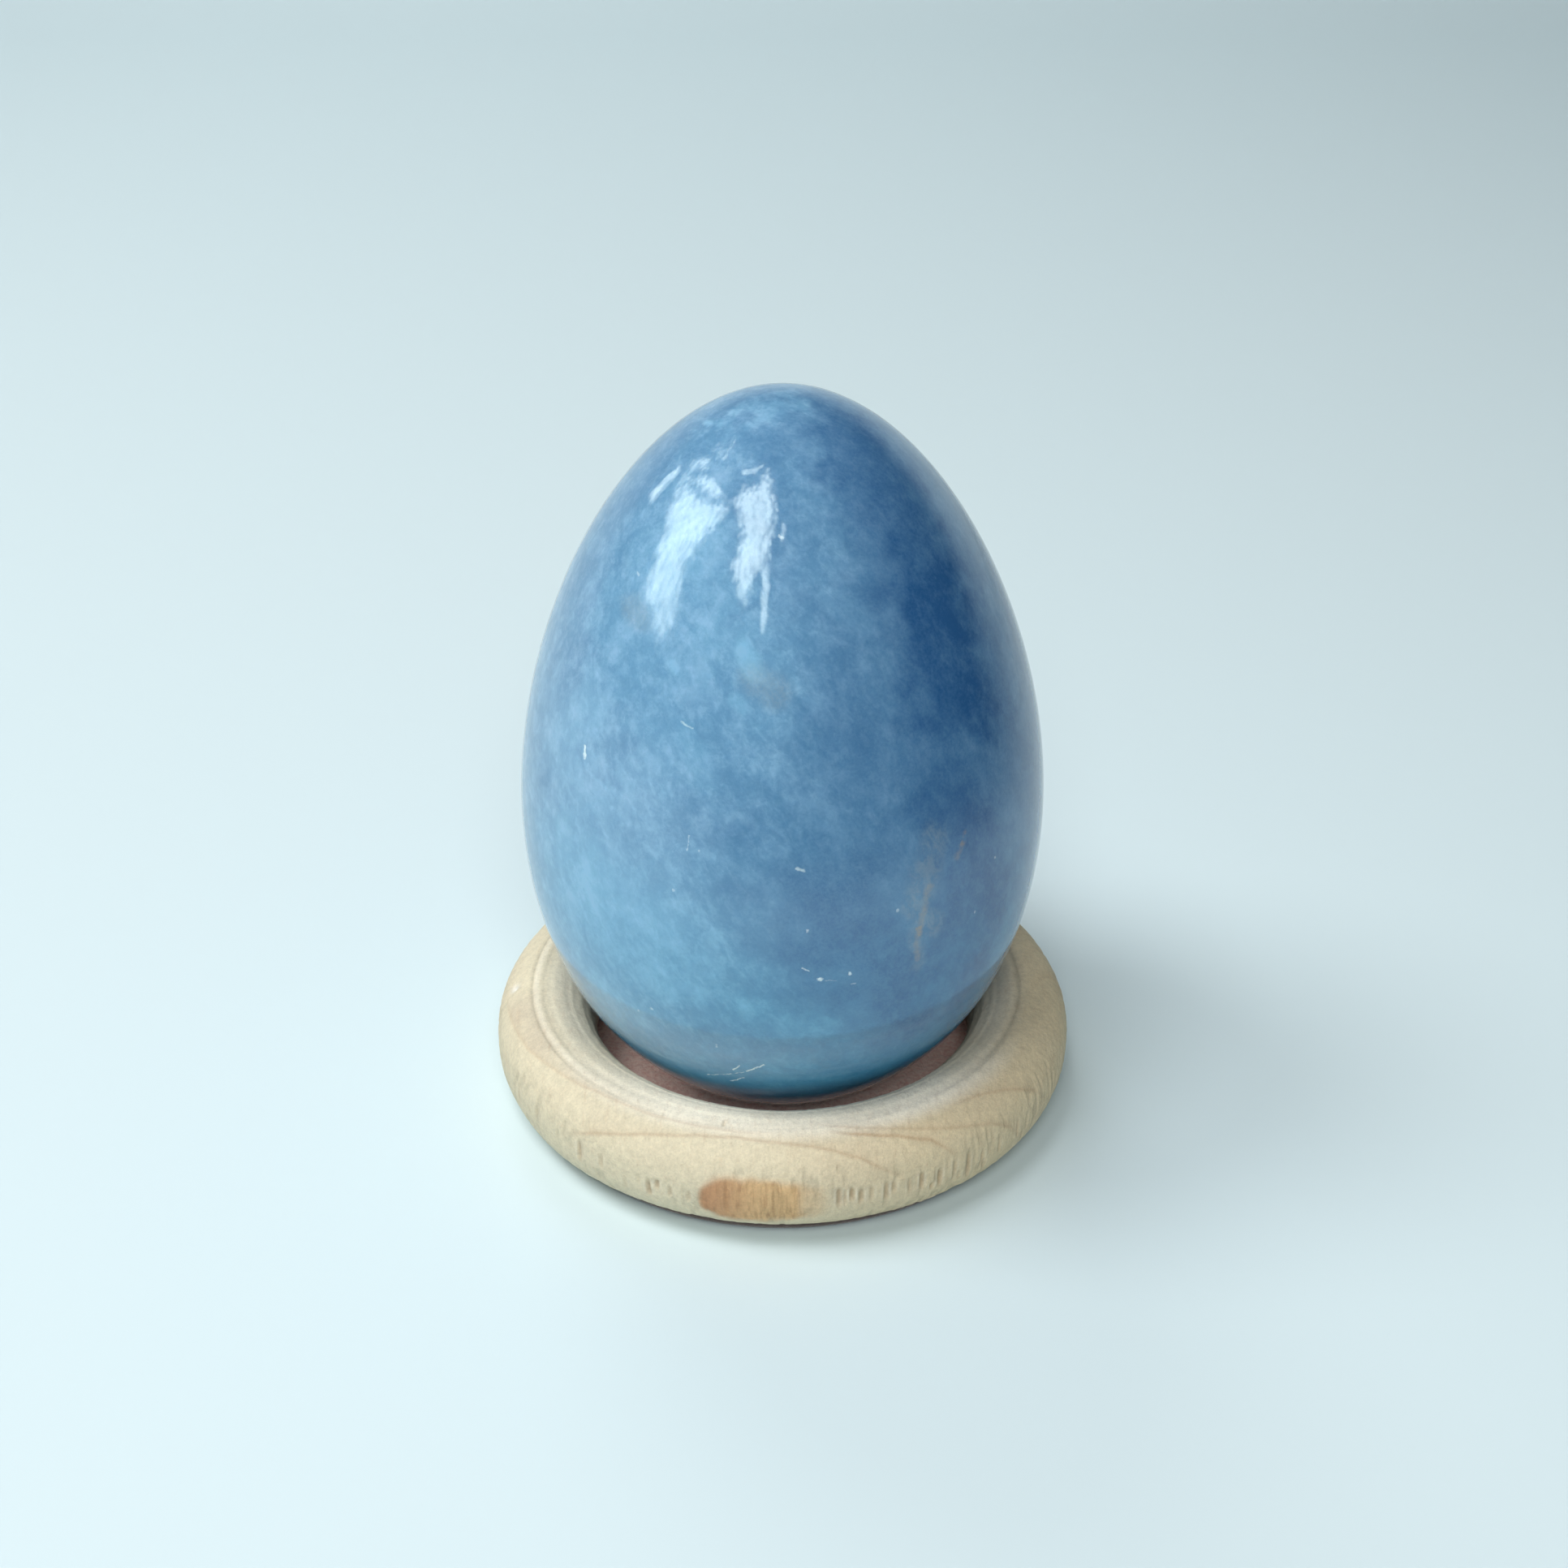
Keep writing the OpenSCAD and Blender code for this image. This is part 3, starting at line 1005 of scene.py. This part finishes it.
# Each pane as the width of its soft edge in pixels, how bright it is, and its outline.
WINDOWS = {
    "left_pane": (15, 0.96, (
        (785, 734), (792, 722), (803, 681), (814, 650), (821, 620), (827, 610), (835, 592), (846, 578),
        (850, 561), (858, 564), (863, 557), (876, 561), (882, 546), (893, 552), (905, 540), (902, 556),
        (886, 566), (878, 570), (873, 581), (856, 584), (852, 601), (861, 607), (876, 615), (898, 616),
        (904, 628), (887, 650), (870, 667), (858, 685), (847, 711), (841, 734), (838, 760), (831, 788),
        (812, 790), (806, 812), (803, 780), (797, 750))),
    "right_pane": (15, 1.25, (
        (898, 616), (910, 601), (913, 596), (925, 596), (936, 589), (941, 577), (945, 567), (951, 581),
        (957, 604), (961, 624), (959, 642), (956, 665), (951, 688), (949, 705), (938, 708), (930, 732),
        (922, 752), (911, 742), (905, 727), (900, 712), (898, 698), (904, 681), (907, 667), (908, 642),
        (904, 628))),
    "low_strand": (4, 1.2, (
        (937, 690), (949, 690), (949, 722), (947, 760), (941, 784), (935, 783), (937, 740))),
    "left_streak": (5, 0.95, (
        (797, 628), (798, 610), (804, 600), (819, 586), (838, 570), (842, 576), (829, 594), (811, 612))),
    "right_chip": (2.5, 1.1, (
        (962, 641), (967, 645), (969, 655), (965, 670), (960, 667), (963, 654))),
    "strand_left": (3, 0.95, ((877, 557), (880, 548), (887, 542), (886, 550), (882, 559))),
    "strand_middle": (3, 0.95, (
        (888, 566), (893, 554), (901, 543), (908, 539), (904, 549), (898, 560), (892, 569))),
    "strand_right": (3, 0.95, (
        (911, 584), (913, 578), (925, 576), (936, 573), (943, 569), (942, 576), (931, 583), (918, 587))),
}
WINDOW_REACH = 0.38
WINDOW_RADIANCE = 5.3
WINDOW_COLOUR = (0.86, 1.0, 0.98)
WINDOW_CUTS = 7
# They are dimmer lower down, between two pixel rows.
WINDOW_FADE = (680, 800)
WINDOW_FADE_BY = 0.35
# The curtain's streaks and folds, as scale, detail and roughness, and how they show.
STREAK_STRETCH = (83, 83, 26)
STREAKS = (1.0, 4.0, 0.6)
STREAK_GLOW = (0.32, 0.62, 0.7, 1.1)
FOLDS = (9.0, 3.0, 0.5)
FOLD_GLOW = (0.3, 0.65, 0.82, 1.04)
FRAY = 2.3
FRAYED_EDGE = (-0.05, 1.0)


def mirrored(egg, x, y):
    """The far place that the camera sees mirrored on the egg at a pixel."""
    at = seen_on(egg, x, y)
    normal = Vector(egg_normals(egg_turns(np.array([at])))[0])
    ray = pixel_ray(x, y).reflect(normal)
    along = at.dot(ray)
    return at + ray * (math.sqrt(along**2 - at.length_squared + WINDOW_REACH**2) - along)


def inside_by(x, y, outline):
    """How many pixels a place inside an outline is away from it."""
    nearest = math.inf
    for (x0, y0), (x1, y1) in zip(outline, outline[1:] + outline[:1]):
        step_x, step_y = x1 - x0, y1 - y0
        share = ((x - x0) * step_x + (y - y0) * step_y) / (step_x**2 + step_y**2)
        share = min(max(share, 0), 1)
        nearest = min(nearest, math.hypot(x - x0 - share * step_x, y - y0 - share * step_y))
    return nearest


def only_mirrored(piece):
    piece.visible_camera = False
    piece.visible_diffuse = False
    piece.visible_shadow = False


def add_window(name, edge, bright, outline, egg, material):
    net = bmesh.new()
    net.faces.new([net.verts.new((x, y, 0)) for x, y in outline])
    bmesh.ops.triangulate(net, faces=net.faces[:])
    bmesh.ops.subdivide_edges(net, edges=net.edges[:], cuts=WINDOW_CUTS, use_grid_fill=True)
    inner = np.array([inside_by(v.co.x, v.co.y, outline) for v in net.verts]) / edge
    down = np.array([v.co.y for v in net.verts])
    for v in net.verts:
        v.co = mirrored(egg, v.co.x, v.co.y)
    mesh = bpy.data.meshes.new(name)
    net.to_mesh(mesh)
    net.free()
    mesh.materials.append(material)
    window = add_object(name, mesh)
    only_mirrored(window)
    paint(window, "inner", np.minimum(inner, 1))
    paint(window, "bright", bright * (1 - WINDOW_FADE_BY * ramp(down, *WINDOW_FADE)))


def daylight():
    """Daylight through a curtain: streaky, and frayed at the panes' edges."""
    material = bpy.data.materials.new("daylight")
    tree = emptied(material)
    place = add_node(tree, "TexCoord").outputs["Object"]
    streaks = noise(tree, vector_maths(tree, "MULTIPLY", place, STREAK_STRETCH), *STREAKS)
    folds = noise(tree, place, *FOLDS)
    fray = times(tree, maths(tree, "SUBTRACT", streaks, 0.5), FRAY)
    edge = spread(tree, plus(tree, painted(tree, "inner"), fray), *FRAYED_EDGE)
    glow = times(tree, edge, spread(tree, folds, *FOLD_GLOW))
    glow = times(tree, glow, spread(tree, streaks, *STREAK_GLOW))
    glow = times(tree, glow, painted(tree, "bright"))
    inputs = {"Color": (*WINDOW_COLOUR, 1), "Strength": times(tree, glow, WINDOW_RADIANCE)}
    shown = add_node(tree, "Emission", inputs)
    add_node(tree, "OutputMaterial", {"Surface": shown.outputs[0]})
    return material


# The rest of the room as the egg mirrors it. The floor fades away in it towards the front and the
# right, and a pale band stands over the floor on the left and at the back.
ROOM_REACH = 0.4
ROOM_FROM = 0.06
ROOM_LIFT = 0.5 * MM
ROOM_FLOOR_ROWS = 24
ROOM_WALL_ROWS = 40
ROOM_WALL_TO = radians(86)
ROOM_COLUMNS = 120
ROOM_PALE = (0.72, 0.88, 0.92)
ROOM_DIM = 0.045
ROOM_BACK = 0.8
# Which ways are dark, and which are the back, as cosine and sine of the azimuth.
DARK_WAY = radians(-50)
DARK_START = (-0.3, 0.6)
BACK_START = (0.2, 0.9)
# The floor is covered where it is seen at a flat angle from a height, or lies near the wall.
ROOM_EYE = 35 * MM
EYE_SLOPES = (0.1, 0.45)
FLOOR_END = (0.3, ROOM_REACH)
WALL_DISTANCE = 1
# The band fades out between these heights on the left, and at the back.
BAND_LEFT = (0, radians(14))
BAND_BACK = (radians(15), radians(45))


def room_look(floor, rise):
    """How much each point of the mirrored room covers what is behind it, and its glow."""
    azimuth = around(ROOM_COLUMNS)
    distance = np.concatenate((floor, 0 * rise + WALL_DISTANCE))
    rises = np.concatenate((0 * floor, rise))
    dark = ramp(np.cos(azimuth - DARK_WAY), *DARK_START)
    back = ramp(np.sin(azimuth), *BACK_START)
    flat = 1 - ramp(ROOM_EYE / distance, *EYE_SLOPES)
    cover = np.outer(flat, dark) + np.outer(ramp(distance, *FLOOR_END), 1 - dark)
    low, high = (side + (behind - side) * back for side, behind in zip(BAND_LEFT, BAND_BACK))
    fade = ramp(rises[:, None], low, high)
    pale = (1 - dark) * (1 - (1 - ROOM_BACK) * back) * (1 - fade)
    return cover, ROOM_DIM + (1 - ROOM_DIM) * pale


def add_mirrored_room():
    floor = np.geomspace(ROOM_FROM, ROOM_REACH, ROOM_FLOOR_ROWS)
    rise = np.linspace(0, ROOM_WALL_TO, ROOM_WALL_ROWS)
    radii = np.concatenate((floor, ROOM_REACH * np.cos(rise)))
    heights = np.concatenate((0 * floor, ROOM_REACH * np.sin(rise))) + ROOM_LIFT
    points = turned_points(radii, heights, ROOM_COLUMNS)
    room = add_piece("mirrored_room", points, grid_faces(len(radii), ROOM_COLUMNS, False))
    cover, glow = room_look(floor, rise)
    paint(room, "cover", cover.ravel())
    paint(room, "glow", glow.ravel())
    only_mirrored(room)
    material = bpy.data.materials.new("mirrored_room")
    tree = emptied(material)
    clear = add_node(tree, "BsdfTransparent").outputs[0]
    inputs = {"Color": (*ROOM_PALE, 1), "Strength": painted(tree, "glow")}
    shown = add_node(tree, "Emission", inputs).outputs[0]
    mixed = add_node(tree, "MixShader", {0: painted(tree, "cover"), 1: clear, 2: shown})
    add_node(tree, "OutputMaterial", {"Surface": mixed.outputs[0]})
    room.data.materials.append(material)


# Lamps as compass direction from the back towards the right, height in degrees, and watts.
LAMPS = ((-90, 52, 1.9), (-130, 68, 1.7), (180, 42, 2.4), (-20, 43, 0.8))
LAMP_REACH = 0.7
LAMP_SIZE = 0.3
LAMP_AIM = Vector((0, 0, 0.03))


def add_lamps():
    for number, (azimuth, height, watts) in enumerate(LAMPS):
        azimuth, height = radians(azimuth), radians(height)
        side = Vector((math.sin(azimuth), math.cos(azimuth), 0)) * math.cos(height)
        towards = side + Vector((0, 0, math.sin(height)))
        data = bpy.data.lights.new(f"lamp_{number}", "AREA")
        data.shape = "DISK"
        data.size = LAMP_SIZE
        data.energy = watts
        lamp = add_object(f"lamp_{number}", data)
        lamp.location = LAMP_AIM + towards * LAMP_REACH
        lamp.rotation_euler = towards.to_track_quat("Z", "Y").to_euler()
        lamp.visible_camera = False
        lamp.visible_glossy = False


# Floor and backdrop: one pale sheet that curves up behind the egg.

SHEET_COLOUR = (0.675, 0.8, 0.83)
SHEET_HALF_WIDTH = 0.55
SHEET_FRONT = -0.55
SHEET_BEND_AT = 0.42
SHEET_BEND_R = 0.16
SHEET_TOP = 0.42
SHEET_GAP = 0.01 * MM
BEND_ROWS = 16


def add_sheet():
    bend = np.linspace(0, math.pi / 2, BEND_ROWS)
    behind = SHEET_BEND_AT + SHEET_BEND_R
    y = np.concatenate(([SHEET_FRONT], SHEET_BEND_AT + SHEET_BEND_R * np.sin(bend), [behind]))
    z = np.concatenate(([0], SHEET_BEND_R * (1 - np.cos(bend)), [SHEET_TOP])) - SHEET_GAP
    left = np.stack((0 * y - SHEET_HALF_WIDTH, y, z), axis=1)
    right = np.stack((0 * y + SHEET_HALF_WIDTH, y, z), axis=1)
    rows = len(y)
    faces = [(i, i + 1, rows + i + 1, rows + i) for i in range(rows - 1)]
    sheet = add_piece("sheet", np.concatenate((left, right)), faces)
    material, tree, shader, _ = new_material("sheet")
    feed(tree, shader, {"Base Color": (*SHEET_COLOUR, 1), "Roughness": 0.9, "Specular IOR Level": 0.0})
    sheet.data.materials.append(material)


# World: a dim room, and a pale colour behind everything.

ROOM_COLOUR = (0.03, 0.035, 0.04)
BACK_COLOUR = (0.66, 0.84, 0.87)


def add_world():
    world = bpy.data.worlds.new("room")
    scene.world = world
    tree = emptied(world)
    is_camera = add_node(tree, "LightPath").outputs["Is Camera Ray"]
    colour = blend(tree, is_camera, ROOM_COLOUR, BACK_COLOUR)
    background = add_node(tree, "Background", {"Color": colour, "Strength": 1.0})
    add_node(tree, "OutputWorld", {"Surface": background.outputs[0]})


# The scene.

scene.view_settings.view_transform = "Standard"
add_camera()
add_world()
add_sheet()
add_lamps()
add_mirrored_room()

turns, faces = egg_mesh()
smooth_egg = egg_points(turns)
egg = add_piece("polished_egg", smooth_egg, faces)
bpy.context.view_layer.update()

light = daylight()
for name, window in WINDOWS.items():
    add_window(name, *window, egg, light)

wave = pressed(smooth_egg, *WAVES) + pressed(smooth_egg, *RIPPLES)
set_points(egg, smooth_egg - egg_normals(turns) * wave[:, None])
bpy.context.view_layer.update()
egg.data.materials.append(angelite(egg))

section, azimuth = ring_grid()
smooth_ring = ring_points(section, azimuth, 0)
ring = add_piece("turned_ring", smooth_ring, grid_faces(RING_ROWS, RING_COLUMNS, True))
bpy.context.view_layer.update()
turn = ring_arc(section, 0)
depth, tones = ring_depth(ring, section, turn, azimuth, smooth_ring)
growth, layer = ring_growth(ring, turn, azimuth, smooth_ring)
patch, patch_along = ring_patch(ring, turn, azimuth, smooth_ring)
crest, bore = ring_zones(turn, azimuth)
tones.update(growth=growth, layer=layer, patch=patch, patch_along=patch_along, crest=crest, bore=bore)
for name, values in tones.items():
    paint(ring, name, values)
set_points(ring, ring_points(section, azimuth, depth))
ring.data.materials.append(bare_wood())

pad = pad_piece()
pad.data.materials.append(pink_suede())

for piece, body, node, slot in (
    (egg, "loose_egg", "egg", "angelite"),
    (ring, "stand", "wooden_ring", "bare_wood"),
    (pad, "stand", "suede_pad", "pink_suede"),
):
    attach(piece, body)
    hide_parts(node)
